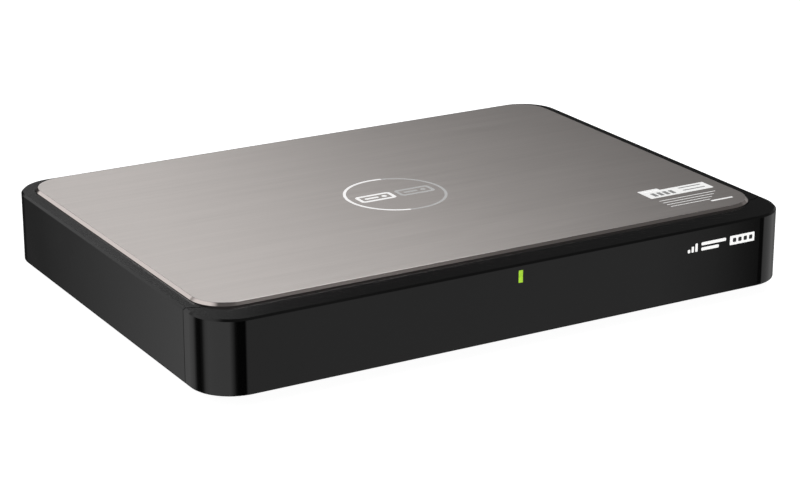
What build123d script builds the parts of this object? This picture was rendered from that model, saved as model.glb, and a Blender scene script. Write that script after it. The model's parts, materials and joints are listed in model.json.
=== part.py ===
from build123d import *
import os

# Network storage box for two 3.5 inch hard drives, cooled without a fan.
# Millimetres. X runs across the front, the front faces -Y and Z is up.
# The origin lies on the floor under the middle of the box.

# Case
WIDTH = 302.0
DEPTH = 220.0
HEIGHT = 41.3
CORNER_RADIUS = 19.4
WALL = 2.4
WALL_BOTTOM = 5.6
RIM_TOP = 39.7
DECK_BOTTOM = 37.0
TOP_EDGE_BEVEL = 0.9
BOTTOM_EDGE_ROUND = 0.7
SIDE_X = WIDTH / 2
FRONT_Y = -DEPTH / 2
REAR_Y = DEPTH / 2

# Clearances
GAP = 0.3
HOLE_GAP = 0.1
MEMORY_GAP = 0.1
PORT_GAP = 0.2

# Aluminium plate on top
PLATE_WIDTH = 289.4
PLATE_FRONT = -94.9
PLATE_REAR = 105.2
PLATE_RADIUS = 16.5
PLATE_BOTTOM = 38.9
PLATE_CHAMFER = 1.3
PLATE_FIT = 0.2

# Seam between the front cover and the housing
SEAM_Y = -85.3
SEAM_RIM_WIDTH = 6.0
SEAM_SLANT = 0.45
SEAM_GAP = 0.6
SEAM_REACH = 10.0

# Front cover
COVER_RETURN = 11.6
COVER_RETURN_TOP = 7.2
COVER_ROOF_BOTTOM = 37.5
LENS_WIDTH = 2.2
LENS_LOW = 31.1
LENS_HIGH = 36.8
GUIDE_END_X = 82.0
HOOK_WIDTH = 2.0
HOOK_LOW = 12.0
HOOK_HIGH = 20.0
HOOK_REAR = -83.0
HOOK_X = (-37.8, 75.5, 140.0)
GUIDE_DEPTH = 2.6
GUIDE_FOOT_HALF = 2.0
GUIDE_FOOT_DEPTH = 2.4
GUIDE_Z = (31.5, 34.5)

# Bottom cover, a sheet that lies between the walls with a low edge turned up
PAN_INSET = WALL + GAP
PAN_FRONT_INSET = COVER_RETURN + 0.4
PAN_EDGE = 0.9
PAN_TOP = WALL_BOTTOM + 1.0
PAN_EDGE_TOP = PAN_TOP + 2.0
FOOT_RADIUS = 9.0
FOOT_X = 118.0
FOOT_Y = 80.0
FOOT_ROUND = 0.8
# Cooling slots: how many, pitch and size on X and Y
BAY_SLOTS = ((11, 2), (7.0, 50.0), (3.0, 40.0))
BAY_SLOTS_Y = -10.0
BOARD_SLOTS = ((9, 2), (6.0, 44.0), (3.0, 36.0))
BOARD_SLOTS_CENTRE = (110.0, -25.0)

# Hard drives of the 3.5 inch size
DRIVE_WIDTH = 101.6
DRIVE_LENGTH = 147.0
DRIVE_HEIGHT = 26.1
DRIVE_FRONT = -92.0
DRIVE_REAR = DRIVE_FRONT + DRIVE_LENGTH
DRIVE_LID = 1.4
BASIN_RADIUS = 48.2
BASIN_FLOOR = 8.0
BASIN_MARGIN = 2.0
ARM_WELL = ((-40.0, 40.0), (-52.0, -8.0))
BOARD_POCKET = ((-44.0, 44.0), (-60.0, 0.0), (0.0, 6.0))
DRIVE_CORNER = 2.0
LID_INSET = 1.5
LID_CORNER = 3.0
LID_STEP = 0.7
LID_STEP_LENGTH = 34.0
LID_CHAMFER = 0.3
DRIVE_BOARD_SIZE = (87.0, 58.0, 1.6)
DRIVE_BOARD_RISE = 2.4
DRIVE_PLUG = ((-21.0, 21.0), (-7.0, 0.0), (0.2, 2.3))
DRIVE_PLUG_SLOTS = ((-19.5, -7.0), (-4.0, 19.5))
DRIVE_PLUG_SLOT_DEPTH = 4.5
DRIVE_PLUG_SLOT_Z = (0.8, 1.7)
DRIVE_SCREW_DEPTH = 5.0
DRIVE_SCREW_HOLE = 6.0
SIDE_SCREW_Y = (28.5, 130.1)
SIDE_SCREW_Z = 6.35

# Cage and trays
SHEET = 0.8
CAGE_LEFT = -147.2
BAY_WIDTH = 105.6
BAY_MIDDLE = 6.0
CAGE_BOTTOM = PAN_TOP
CAGE_TOP = 36.6
CAGE_FRONT = -85.0
CAGE_REAR = 57.5
STRAP_Y = (-82.0, 38.0)
STRAP_LENGTH = 12.0
LUG_HALF = 5.0
LUG_LENGTH = 10.0
LUG_BOTTOM = 29.0
TRAY_RAIL = 1.5
TRAY_BOTTOM = 7.8
TRAY_FLOOR = 1.0
TRAY_RAIL_TOP = 21.0
TRAY_REAR = DRIVE_REAR - 6.0
TRAY_WINDOW = ((-36.0, 36.0), (-70.0, 30.0))
TRAY_SLOT_COUNT = 15
TRAY_SLOT_PITCH = 6.4
TRAY_SLOT_WIDTH = 3.2
TRAY_SLOT_Z = (28.0, 33.0)
TRAY_FACE_FRONT = -97.5
TRAY_FACE_REAR = -94.5
TRAY_FACE_TOP = 35.4
HANDLE_FRONT = -103.0
HANDLE_HALF = 32.0
HANDLE_Z = (10.0, 27.0)
HANDLE_WALL = 4.0
HANDLE_LIP = 1.6
HANDLE_ROOF = 2.6
HANDLE_ROUND = 1.2
DRIVE_BOTTOM = TRAY_BOTTOM + TRAY_FLOOR
BAY_LEFT = (CAGE_LEFT + SHEET, CAGE_LEFT + SHEET + BAY_WIDTH + BAY_MIDDLE)
BAY_X = tuple(left + BAY_WIDTH / 2 for left in BAY_LEFT)
CAGE_RIGHT = BAY_LEFT[1] + BAY_WIDTH + SHEET

# Front frame and the small board on it
FRAME_FRONT = -87.4
FRAME_REAR = CAGE_FRONT
FRAME_BOTTOM = 7.6
FRAME_TOP = 36.8
FRAME_SIDE = 147.3
FRAME_AIR_X = range(82, 118, 6)
FRAME_AIR_WIDTH = 3.0
FRAME_AIR_Z = (11.0, 20.0)
RIBBON_WINDOW_Z = (12.0, 16.0)
FRAME_CUT_Y = (FRAME_FRONT - 1.0, FRAME_REAR + 1.0)
FRONT_BOARD_FRONT = -99.0
FRONT_BOARD_REAR = -97.4
FRONT_BOARD_X = (76.5, 134.0)
FRONT_BOARD_Z = (22.0, 35.5)
FRONT_BOARD_POST_X = (79.0, 131.0)
FRONT_BOARD_POST_Z = 32.5
FRONT_BOARD_POST_RADIUS = 2.2
LED_HALF = 1.6
RECEIVER_SIZE = (8.0, 3.4, 7.0)
RECEIVER_CENTRE = (106.0, 29.5)
RECEIVER_LENS = (2.4, 1.8)
RIBBON_X = (121.0, 132.0)
RIBBON_SOCKET_X = (RIBBON_X[0] - 1.0, RIBBON_X[1] + 1.0)
RIBBON_THICKNESS = 0.5
RIBBON_BEND = 1.1
RIBBON_DROP_Y = -91.2
RIBBON_HIGH_Z = 25.0
RIBBON_LOW_Z = 14.0
RIBBON_SOCKET_DEPTH = 3.0
RIBBON_BOARD_SOCKET_Y = (-73.5, -69.5)
RIBBON_BOARD_SOCKET_TOP = 15.5

# Backplane
BACKPLANE_FRONT = 58.0
BACKPLANE_REAR = 59.6
BACKPLANE_Z = (9.0, 34.0)
SOCKET_WIDTH = 46.0
SOCKET_OFFSET = -18.0
SOCKET_HEIGHT = 5.6
BACKPLANE_HOLE_PITCH = 19.0
BACKPLANE_HOLE_HALF = 7.0
BACKPLANE_HOLE_Z = (20.0, 29.0)
BACKPLANE_SCREW_X = (-140.0, -37.8, 65.0)
BACKPLANE_SCREW_Z = 32.0
LINK_X = (-10.0, 30.0)
LINK_REAR = 70.0
LINK_TOP = 19.0

# Mainboard
BOARD_BOTTOM = 9.0
BOARD_TOP = 10.6
BOARD_OUTLINE = [
    (-143, 66), (73.5, 66), (73.5, -74), (146.5, -74), (146.5, 84),
    (120, 84), (120, 104.5), (-120, 104.5), (-120, 84), (-143, 84),
]
BOARD_SCREWS = [(78, -69), (142, -69), (66, 72), (-20, 71), (-139, 72), (-114, 99)]
SPACER_RADIUS = 2.9
CHIP_CENTRE = (110.0, -25.0)
PACKAGE_HALF = (12.5, 13.5)
PACKAGE_TOP = BOARD_TOP + 0.9
DIE_HALF = (5.0, 6.0)
DIE_TOP = BOARD_TOP + 1.6
PAD_HALF = (8.0, 9.0)
SINK_X = (79.0, 141.0)
SINK_Y = (-60.0, 10.0)
SINK_BOTTOM = 13.0
SINK_BASE = 3.0
SINK_TOP = 35.5
SINK_PINS = [(82, -57), (138, -57), (82, 7), (138, 7)]
FIN_COUNT = 12
FIN_THICKNESS = 1.3
FIN_MARGIN = 7.0
PIN_HEAD_HEIGHT = 3.0
PIN_TIP_RADIUS = 2.2
PIN_TIP_LENGTH = 1.5
MEMORY_X = 110.0
MEMORY_SOCKET_Y = (14.0, 49.0)
MODULE_SIZE = (67.6, 30.0, 1.0)
MODULE_BOTTOM = 12.8
MEMORY_SOCKET_HALF = 35.5
MEMORY_SOCKET_DEPTH = 5.0
MEMORY_SOCKET_TOP = 15.6
MEMORY_ARM = 1.4
MEMORY_ARM_LENGTH = 21.0
MEMORY_ARM_TOP = 14.6
MODULE_SETBACK = 2.5
MEMORY_CHIP_PITCH = 15.0
MEMORY_CHIP_HALF = 5.5
MEMORY_CHIP_Y = (11.0, 23.0)
CELL_CENTRE = (-95.0, 77.0)
CELL_RADIUS = 10.0
CELL_HEIGHT = 3.2
HOLDER_RADIUS = 12.0
HOLDER_HEIGHT = 4.0
HOLDER_FLOOR = 1.0
STORAGE_PLUG = ((-60.0, -40.0), (74.0, 79.0), (BOARD_TOP, 15.0))
STORAGE_CARD = ((-63.0, -35.0), (72.0, 92.0), (15.0, 16.2))
STORAGE_CHIP = ((-55.0, -43.0), (75.0, 89.0), (16.2, 17.4))
NETWORK_CHIP_SIZE = 9.0
NETWORK_CHIP_Y = (77.0, 86.0)
COIL_X = (88.0, 98.0, 108.0)
COIL_Y = (-70.0, -63.0)
COIL_HEIGHT = 4.0
COIL_ROUND = 1.2
CAN_X = (38.0, 48.0, 58.0)
CAN_Y = 77.0
CAN_RADIUS = 3.2
CAN_HEIGHT = 8.0
CAN_ROUND = 0.5
BUZZER_CENTRE = (-130.0, 76.0)
BUZZER_RADIUS = 4.5
BUZZER_HEIGHT = 5.0
BUZZER_HOLE = 0.9
BUZZER_HOLE_DEPTH = 2.0

# Rear panel and its ports
PANEL_FRONT = 106.4
PANEL_REAR = 107.6
PANEL_HALF_WIDTH = 128.0
PANEL_Z = (8.8, 36.7)
WINDOW_HALF_WIDTH = 124.0
WINDOW_Z = (10.0, 35.0)
PORT_REAR = 108.9
POWER_BUTTON_X = 108.0
RESET_X = 94.0
POWER_JACK_X = 80.0
HDMI_X = 60.0
USB_X = (38.0, 18.0)
LAN_X = (-6.0, -26.0)
LOCK_SLOT_X = -50.0
BUTTON_Z = 20.0
POWER_JACK_SIZE = (9.6, 14.0, 11.6)
HDMI_SIZE = (15.2, 12.0, 6.4)
USB_SIZE = (14.4, 17.8, 15.8)
LAN_SIZE = (16.0, 18.0, 13.6)
JACK_BORE = 3.2
JACK_PIN = 1.0
JACK_DEPTH = 9.0
HDMI_DEPTH = 10.0
HDMI_RISE = 0.8
HDMI_TONGUE_HALF = 5.4
USB_LEVELS = (BOARD_TOP + 1.2, BOARD_TOP + 9.2)
USB_HALF = 6.3
USB_OPENING = 5.3
USB_DEPTH = 13.0
USB_TONGUE_HALF = 5.6
USB_TONGUE_Z = (2.9, 4.8)
LAN_HALF = 6.0
LAN_RISE = 3.6
LAN_OPENING = 7.4
LAN_DEPTH = 14.0
LATCH_HALF = 3.2
LATCH_DROP = 2.2
VENT_LEFT = -118.0
VENT_LOW = 14.0
VENT_PITCH = (6.0, 6.5)
VENT_COUNT = (9, 3)
VENT_SIZE = 4.0
RIVET_X = (-121.5, 121.5)
RIVET_Z = 31.0
RIVET_HEAD = (2.4, 0.8)
LOCK_SLOT_HALF = 3.5
LOCK_SLOT_Z = (18.0, 21.0)

# Buttons and their switches
POWER_CAP_RADIUS = 4.2
POWER_FLANGE_RADIUS = 5.4
POWER_STEM_RADIUS = 1.8
POWER_STEM_FRONT = 101.4
POWER_CAP_FRONT = 105.0
POWER_CAP_ROUND = 0.6
FLANGE_FRONT = 104.9
POWER_SWITCH = (4.0, (91.0, 99.0), 24.0)
POWER_PLUNGER = (1.6, 1.2)
RESET_PIN_RADIUS = 1.4
RESET_FLANGE_RADIUS = 2.4
RESET_PIN_FRONT = 101.9
RESET_RECESS = 0.6
RESET_SWITCH = (3.0, (93.0, 100.0), 23.0)
RESET_PLUNGER = (1.0, 1.0)

# Screws
CASE_SCREWS = [(-133, 93), (133, 93), (141, -79), (-120, -60), (-120, 40), (40, -60), (40, 40)]
CAGE_SCREWS = CASE_SCREWS[3:]
BOSSES = CASE_SCREWS[:3]
SCREW_RADIUS = 1.5
HEAD_RADIUS = 2.8
HEAD_HEIGHT = 1.6
RECESS_DEPTH = 1.0
RECESS_ARM = (1.7, 0.35)
BOSS_RADIUS = 3.5
BOSS_HOLE_TOP = 20.0
BOSS_SCREW_TIP = 18.0
# How far a cut runs past the face that it leaves.
PAST = 1.0


# ---------------------------------------------------------------- helpers

def block(xs, ys, zs):
    """A plain block between two values on each axis."""
    size = [high - low for low, high in (xs, ys, zs)]
    middle = [(high + low) / 2 for low, high in (xs, ys, zs)]
    return Pos(*middle) * Box(*size)


def upright(radius, x, y, low, high):
    """A round bar that stands along Z."""
    return Pos(x, y, (low + high) / 2) * Cylinder(radius, high - low)


def lengthwise(radius, x, z, front, rear):
    """A round bar that lies along Y."""
    return Pos(x, (front + rear) / 2, z) * Rot(90, 0, 0) * Cylinder(radius, rear - front)


def crosswise(radius, left, right, y, z):
    """A round bar that lies along X."""
    return Pos((left + right) / 2, y, z) * Rot(0, 90, 0) * Cylinder(radius, right - left)


def case_block(inset, low, high):
    """The case outline, moved inwards, between two heights."""
    outline = RectangleRounded(WIDTH - 2 * inset, DEPTH - 2 * inset, CORNER_RADIUS - inset)
    return Pos(0, 0, low) * extrude(outline, high - low)


def plate_block(grow, low, high):
    """The outline of the top plate, moved outwards, between two heights."""
    depth = PLATE_REAR - PLATE_FRONT
    outline = RectangleRounded(PLATE_WIDTH + 2 * grow, depth + 2 * grow, PLATE_RADIUS + grow)
    return Pos(0, (PLATE_FRONT + PLATE_REAR) / 2, low) * extrude(outline, high - low)


def in_front_of_seam(shift):
    """All the space in front of the seam, which runs forwards as it crosses the rim."""
    inner_x = SIDE_X - SEAM_RIM_WIDTH
    inner_y = SEAM_Y - SEAM_RIM_WIDTH * SEAM_SLANT + shift
    outer_y = inner_y + (SEAM_RIM_WIDTH + SEAM_REACH) * SEAM_SLANT
    outer_x = SIDE_X + SEAM_REACH
    corners = [
        (-outer_x, outer_y), (-inner_x, inner_y), (inner_x, inner_y), (outer_x, outer_y),
        (outer_x, FRONT_Y - SEAM_REACH), (-outer_x, FRONT_Y - SEAM_REACH),
    ]
    return extrude(make_face(Polyline(corners, close=True)), HEIGHT + SEAM_REACH)


def moved(span, shift):
    """A span of values, moved along its axis."""
    return (span[0] + shift, span[1] + shift)


def slots(centre, pattern, low, high):
    """A grid of round-ended slots that are long in Y, cut through a sheet."""
    count, pitch, size = pattern
    grid = GridLocations(pitch[0], pitch[1], count[0], count[1])
    outline = Rot(0, 0, 90) * SlotOverall(size[1], size[0])
    return Pos(centre[0], centre[1], low) * extrude(Sketch() + grid * outline, high - low)


def screw(x, y, head_low, tip):
    """A cross-head screw along Z, with its recess on the side away from the tip."""
    head_high = head_low + HEAD_HEIGHT
    recess_low = head_high - RECESS_DEPTH if tip < head_low else head_low
    body = upright(HEAD_RADIUS, x, y, head_low, head_high)
    body += upright(SCREW_RADIUS, x, y, min(head_low, tip), max(head_high, tip))
    return body - cross(x, y, recess_low, recess_low + RECESS_DEPTH)


def cross(x, y, low, high):
    """The cross-shaped recess of a screw head."""
    reach, half = RECESS_ARM
    along = block((x - reach, x + reach), (y - half, y + half), (low, high))
    across = block((x - half, x + half), (y - reach, y + reach), (low, high))
    return along + across


# ---------------------------------------------------------------- case

def rounded_case():
    """The solid outer form of the plastic case."""
    body = case_block(0, WALL_BOTTOM, RIM_TOP)
    body = chamfer(body.edges().group_by(Axis.Z)[-1], TOP_EDGE_BEVEL)
    return fillet(body.edges().group_by(Axis.Z)[0], BOTTOM_EDGE_ROUND)


def make_top_plate():
    plate = plate_block(0, PLATE_BOTTOM, HEIGHT)
    return chamfer(plate.edges().group_by(Axis.Z)[-1], PLATE_CHAMFER)


def make_top_housing():
    """Side and rear walls, rim, the deck under the plate, and the screw bosses."""
    body = rounded_case()
    body -= case_block(WALL, 0, DECK_BOTTOM)
    body -= plate_block(PLATE_FIT, PLATE_BOTTOM, HEIGHT)
    body -= in_front_of_seam(SEAM_GAP / 2)
    body += plate_block(-PAST, DECK_BOTTOM, PLATE_BOTTOM)
    body -= block(
        (-WINDOW_HALF_WIDTH, WINDOW_HALF_WIDTH), (REAR_Y - WALL - PAST, REAR_Y + PAST), WINDOW_Z,
    )
    for x, y in BOSSES:
        body += upright(BOSS_RADIUS, x, y, PAN_TOP, DECK_BOTTOM)
        body -= upright(SCREW_RADIUS + HOLE_GAP, x, y, 0, BOSS_HOLE_TOP)
    return body


def make_front_cover():
    """The pull-off cover: front wall, both front corners, rim strip and bottom return."""
    body = rounded_case() & in_front_of_seam(-SEAM_GAP / 2)
    body -= case_block(WALL, COVER_RETURN_TOP, COVER_ROOF_BOTTOM)
    body -= case_block(COVER_RETURN, 0, COVER_RETURN_TOP)
    body -= plate_block(GAP, DECK_BOTTOM, HEIGHT)
    for x in HOOK_X:
        hook = block(
            (x - HOOK_WIDTH / 2, x + HOOK_WIDTH / 2),
            (FRONT_Y, HOOK_REAR), (HOOK_LOW, HOOK_HIGH),
        )
        body += hook & case_block(WALL / 2, HOOK_LOW, HOOK_HIGH)
    lens_hole = block(
        (-LENS_WIDTH / 2, LENS_WIDTH / 2),
        (FRONT_Y - PAST, FRONT_Y + WALL + PAST), (LENS_LOW, LENS_HIGH),
    )
    return body - lens_hole


def make_status_lens():
    """The small upright window of the status light, flush with the front."""
    return block(
        (-LENS_WIDTH / 2, LENS_WIDTH / 2), (FRONT_Y, FRONT_Y + WALL), (LENS_LOW, LENS_HIGH),
    )


def make_light_guide():
    """A clear bar in the cover that carries light from the right to the lens."""
    rear = FRONT_Y + WALL + GUIDE_DEPTH
    right = GUIDE_END_X + GUIDE_FOOT_HALF
    bar = block((-LENS_WIDTH, right), (FRONT_Y + WALL, rear), GUIDE_Z)
    foot = block((GUIDE_END_X - GUIDE_FOOT_HALF, right), (rear, rear + GUIDE_FOOT_DEPTH), GUIDE_Z)
    mirror_cut = Pos(-LENS_WIDTH, rear, GUIDE_Z[0]) * Rot(0, 0, 45) * Box(LENS_WIDTH, LENS_WIDTH, HEIGHT)
    return bar + foot - mirror_cut


def make_bottom_cover():
    """The steel sheet between the walls, with cooling slots under the drives and the board."""
    body = case_block(PAN_INSET, WALL_BOTTOM, PAN_EDGE_TOP)
    body -= case_block(PAN_INSET + PAN_EDGE, PAN_TOP, PAN_EDGE_TOP)
    body -= in_front_of_seam(SEAM_GAP / 2)
    body += case_block(PAN_FRONT_INSET, WALL_BOTTOM, PAN_TOP)
    for x in BAY_X:
        body -= slots((x, BAY_SLOTS_Y), BAY_SLOTS, 0, PAN_TOP)
    body -= slots(BOARD_SLOTS_CENTRE, BOARD_SLOTS, 0, PAN_TOP)
    for x, y in CASE_SCREWS:
        body -= upright(SCREW_RADIUS + HOLE_GAP, x, y, 0, PAN_TOP)
    return body


def make_rubber_feet():
    feet = []
    for x in (-FOOT_X, FOOT_X):
        for y in (-FOOT_Y, FOOT_Y):
            foot = upright(FOOT_RADIUS, x, y, 0, WALL_BOTTOM)
            feet.append(fillet(foot.edges().group_by(Axis.Z)[0], FOOT_ROUND))
    return feet


def make_case_screws():
    """Three long screws into the bosses and four short ones into the cage."""
    head_low = WALL_BOTTOM - HEAD_HEIGHT
    screws = [screw(x, y, head_low, BOSS_SCREW_TIP) for x, y in BOSSES]
    screws += [screw(x, y, head_low, CAGE_BOTTOM + SHEET) for x, y in CAGE_SCREWS]
    return screws


# ---------------------------------------------------------------- front frame

def make_front_frame():
    """The frame behind the cover, with an opening for each bay and one for air."""
    body = block((-FRAME_SIDE, FRAME_SIDE), (FRAME_FRONT, FRAME_REAR), (FRAME_BOTTOM, FRAME_TOP))
    for left in BAY_LEFT:
        body -= block(
            (left, left + BAY_WIDTH), FRAME_CUT_Y, (FRAME_BOTTOM - PAST, TRAY_FACE_TOP),
        )
    for x in HOOK_X:
        body -= block(
            (x - HOOK_WIDTH / 2 - GAP, x + HOOK_WIDTH / 2 + GAP),
            FRAME_CUT_Y, (HOOK_LOW - GAP, HOOK_HIGH + GAP),
        )
    for x in FRAME_AIR_X:
        body -= block((x, x + FRAME_AIR_WIDTH), FRAME_CUT_Y, FRAME_AIR_Z)
    body -= block(RIBBON_SOCKET_X, FRAME_CUT_Y, RIBBON_WINDOW_Z)
    for x in FRONT_BOARD_POST_X:
        body += lengthwise(
            FRONT_BOARD_POST_RADIUS, x, FRONT_BOARD_POST_Z, FRONT_BOARD_REAR, FRAME_FRONT,
        )
    return body


def make_front_board():
    return block(FRONT_BOARD_X, (FRONT_BOARD_FRONT, FRONT_BOARD_REAR), FRONT_BOARD_Z)


def make_status_led():
    """The light source, facing the end of the light guide."""
    middle = sum(GUIDE_Z) / 2
    return block(
        (GUIDE_END_X - LED_HALF, GUIDE_END_X + LED_HALF),
        (FRONT_BOARD_FRONT - LED_HALF, FRONT_BOARD_FRONT), (middle - LED_HALF, middle + LED_HALF),
    )


def make_infrared_receiver():
    """A remote control receiver with a round lens."""
    x, z = RECEIVER_CENTRE
    width, depth, height = RECEIVER_SIZE
    lens_radius, lens_reach = RECEIVER_LENS
    front = FRONT_BOARD_FRONT - depth
    case = block(
        (x - width / 2, x + width / 2), (front, FRONT_BOARD_FRONT), (z - height / 2, z + height / 2),
    )
    return case + lengthwise(lens_radius, x, z, front - lens_reach, front)


def make_ribbon_cable():
    """A flat cable from the front board, through the frame, to the mainboard."""
    line = FilletPolyline(
        (FRONT_BOARD_REAR + RIBBON_SOCKET_DEPTH, RIBBON_HIGH_Z), (RIBBON_DROP_Y, RIBBON_HIGH_Z),
        (RIBBON_DROP_Y, RIBBON_LOW_Z), (RIBBON_BOARD_SOCKET_Y[0], RIBBON_LOW_Z),
        radius=RIBBON_BEND,
    )
    section = Plane.YZ.offset(RIBBON_X[0]) * trace(line, RIBBON_THICKNESS)
    return extrude(section, RIBBON_X[1] - RIBBON_X[0])


def make_ribbon_sockets():
    """The two sockets that the ribbon cable plugs into."""
    half = RIBBON_SOCKET_DEPTH / 2
    front = block(
        RIBBON_SOCKET_X, (FRONT_BOARD_REAR, FRONT_BOARD_REAR + RIBBON_SOCKET_DEPTH),
        (RIBBON_HIGH_Z - half, RIBBON_HIGH_Z + half),
    )
    rear = block(RIBBON_SOCKET_X, RIBBON_BOARD_SOCKET_Y, (BOARD_TOP, RIBBON_BOARD_SOCKET_TOP))
    return [front, rear]


# ---------------------------------------------------------------- drives

def make_drive_cage():
    """Folded steel: a floor, four walls, two straps over the bays, lugs for the backplane."""
    floor_top = CAGE_BOTTOM + SHEET
    body = block((CAGE_LEFT, CAGE_RIGHT), (CAGE_FRONT, CAGE_REAR), (CAGE_BOTTOM, floor_top))
    for left in BAY_LEFT:
        for x in (left - SHEET, left + BAY_WIDTH):
            body += block((x, x + SHEET), (CAGE_FRONT, CAGE_REAR), (CAGE_BOTTOM, CAGE_TOP))
    strap_z = (CAGE_TOP - SHEET, CAGE_TOP)
    for y in STRAP_Y:
        body += block((CAGE_LEFT, CAGE_RIGHT), (y, y + STRAP_LENGTH), strap_z)
    for x in BAY_X:
        body -= slots((x, BAY_SLOTS_Y), BAY_SLOTS, 0, floor_top)
    for x, y in CAGE_SCREWS:
        body -= upright(SCREW_RADIUS + HOLE_GAP, x, y, 0, floor_top)
    for x, z in backplane_screw_places():
        wide = (x - LUG_HALF, x + LUG_HALF)
        body += block(wide, (CAGE_REAR - LUG_LENGTH, BACKPLANE_FRONT), strap_z)
        body += block(wide, (BACKPLANE_FRONT - SHEET, BACKPLANE_FRONT), (LUG_BOTTOM, CAGE_TOP))
        body -= lengthwise(SCREW_RADIUS + HOLE_GAP, x, z, DRIVE_REAR, BACKPLANE_FRONT)
    return body


def make_tray(x):
    """A folded tray: floor, two side rails and a slotted face."""
    half = DRIVE_WIDTH / 2 + TRAY_RAIL
    wide = (x - half, x + half)
    face_y = (TRAY_FACE_FRONT, TRAY_FACE_REAR)
    floor_z = (TRAY_BOTTOM, DRIVE_BOTTOM)
    body = block(wide, (TRAY_FACE_REAR, TRAY_REAR), floor_z)
    body -= block(moved(TRAY_WINDOW[0], x), TRAY_WINDOW[1], floor_z)
    for side in (x - half, x + half - TRAY_RAIL):
        body += block(
            (side, side + TRAY_RAIL), (TRAY_FACE_REAR, TRAY_REAR), (TRAY_BOTTOM, TRAY_RAIL_TOP),
        )
    body += block(wide, face_y, (TRAY_BOTTOM, TRAY_FACE_TOP))
    first = x - TRAY_SLOT_PITCH * (TRAY_SLOT_COUNT - 1) / 2
    for index in range(TRAY_SLOT_COUNT):
        left = first + index * TRAY_SLOT_PITCH - TRAY_SLOT_WIDTH / 2
        body -= block((left, left + TRAY_SLOT_WIDTH), face_y, TRAY_SLOT_Z)
    for y in SIDE_SCREW_Y:
        hole_y = DRIVE_FRONT + y
        body -= crosswise(SCREW_RADIUS + HOLE_GAP, x - half, x + half, hole_y, DRIVE_BOTTOM + SIDE_SCREW_Z)
    return body


def make_tray_handle(x):
    """A moulded pull on the tray face, hollow behind its lip for the fingers."""
    low, high = HANDLE_Z
    inner = HANDLE_HALF - HANDLE_WALL
    body = block((x - HANDLE_HALF, x + HANDLE_HALF), (HANDLE_FRONT, TRAY_FACE_FRONT), HANDLE_Z)
    body = fillet(body.edges().group_by(Axis.Y)[0], HANDLE_ROUND)
    return body - block(
        (x - inner, x + inner), (HANDLE_FRONT + HANDLE_LIP, TRAY_FACE_FRONT),
        (low - PAST, high - HANDLE_ROOF),
    )


def make_drive_case(x):
    """The cast body of the drive: a basin for the disks, and a pocket for the board below."""
    half = DRIVE_WIDTH / 2
    top = DRIVE_BOTTOM + DRIVE_HEIGHT - DRIVE_LID
    body = block((x - half, x + half), (DRIVE_FRONT, DRIVE_REAR), (DRIVE_BOTTOM, top))
    body = fillet(body.edges().filter_by(Axis.Z), DRIVE_CORNER)
    wide, deep, high = BOARD_POCKET
    body -= block(moved(wide, x), moved(deep, DRIVE_REAR), moved(high, DRIVE_BOTTOM))
    basin_low = DRIVE_BOTTOM + BASIN_FLOOR
    body -= upright(BASIN_RADIUS, x, DRIVE_FRONT + BASIN_RADIUS + BASIN_MARGIN, basin_low, top)
    wide, deep = ARM_WELL
    body -= block(moved(wide, x), moved(deep, DRIVE_REAR), (basin_low, top))
    for y in SIDE_SCREW_Y:
        for side in (-half, half - DRIVE_SCREW_HOLE):
            body -= crosswise(
                SCREW_RADIUS + HOLE_GAP, x + side, x + side + DRIVE_SCREW_HOLE,
                DRIVE_FRONT + y, DRIVE_BOTTOM + SIDE_SCREW_Z,
            )
    return body


def make_drive_lid(x):
    """The stepped steel lid that seals the drive."""
    top = DRIVE_BOTTOM + DRIVE_HEIGHT
    low = top - DRIVE_LID
    half = DRIVE_WIDTH / 2
    outline = RectangleRounded(DRIVE_WIDTH - 2 * LID_INSET, DRIVE_LENGTH - 2 * LID_INSET, LID_CORNER)
    middle = (DRIVE_FRONT + DRIVE_REAR) / 2
    lid = Pos(x, middle, low) * extrude(outline, DRIVE_LID)
    lid -= block((x - half, x + half), (DRIVE_REAR - LID_STEP_LENGTH, DRIVE_REAR), (top - LID_STEP, top))
    return chamfer(lid.edges().group_by(Axis.Z)[-1], LID_CHAMFER)


def make_drive_board(x):
    """The controller board in the pocket under the drive."""
    width, length, thickness = DRIVE_BOARD_SIZE
    low = DRIVE_BOTTOM + DRIVE_BOARD_RISE
    rear = DRIVE_REAR - 1.0
    return block((x - width / 2, x + width / 2), (rear - length, rear), (low, low + thickness))


def make_drive_connector(x):
    """The data and power plug at the rear edge of the drive."""
    middle = x + SOCKET_OFFSET
    wide, deep, high = DRIVE_PLUG
    body = block(moved(wide, middle), moved(deep, DRIVE_REAR), moved(high, DRIVE_BOTTOM))
    for slot in DRIVE_PLUG_SLOTS:
        body -= block(
            moved(slot, middle), (DRIVE_REAR - DRIVE_PLUG_SLOT_DEPTH, DRIVE_REAR),
            moved(DRIVE_PLUG_SLOT_Z, DRIVE_BOTTOM),
        )
    return body


def make_drive_screws(x):
    """Four short screws through the rails into the sides of the drive."""
    half = DRIVE_WIDTH / 2
    screws = []
    for y in SIDE_SCREW_Y:
        for side in (-1, 1):
            ends = sorted((x + side * (half - DRIVE_SCREW_DEPTH), x + side * (half + TRAY_RAIL)))
            screws.append(crosswise(SCREW_RADIUS, *ends, DRIVE_FRONT + y, DRIVE_BOTTOM + SIDE_SCREW_Z))
    return screws


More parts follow.
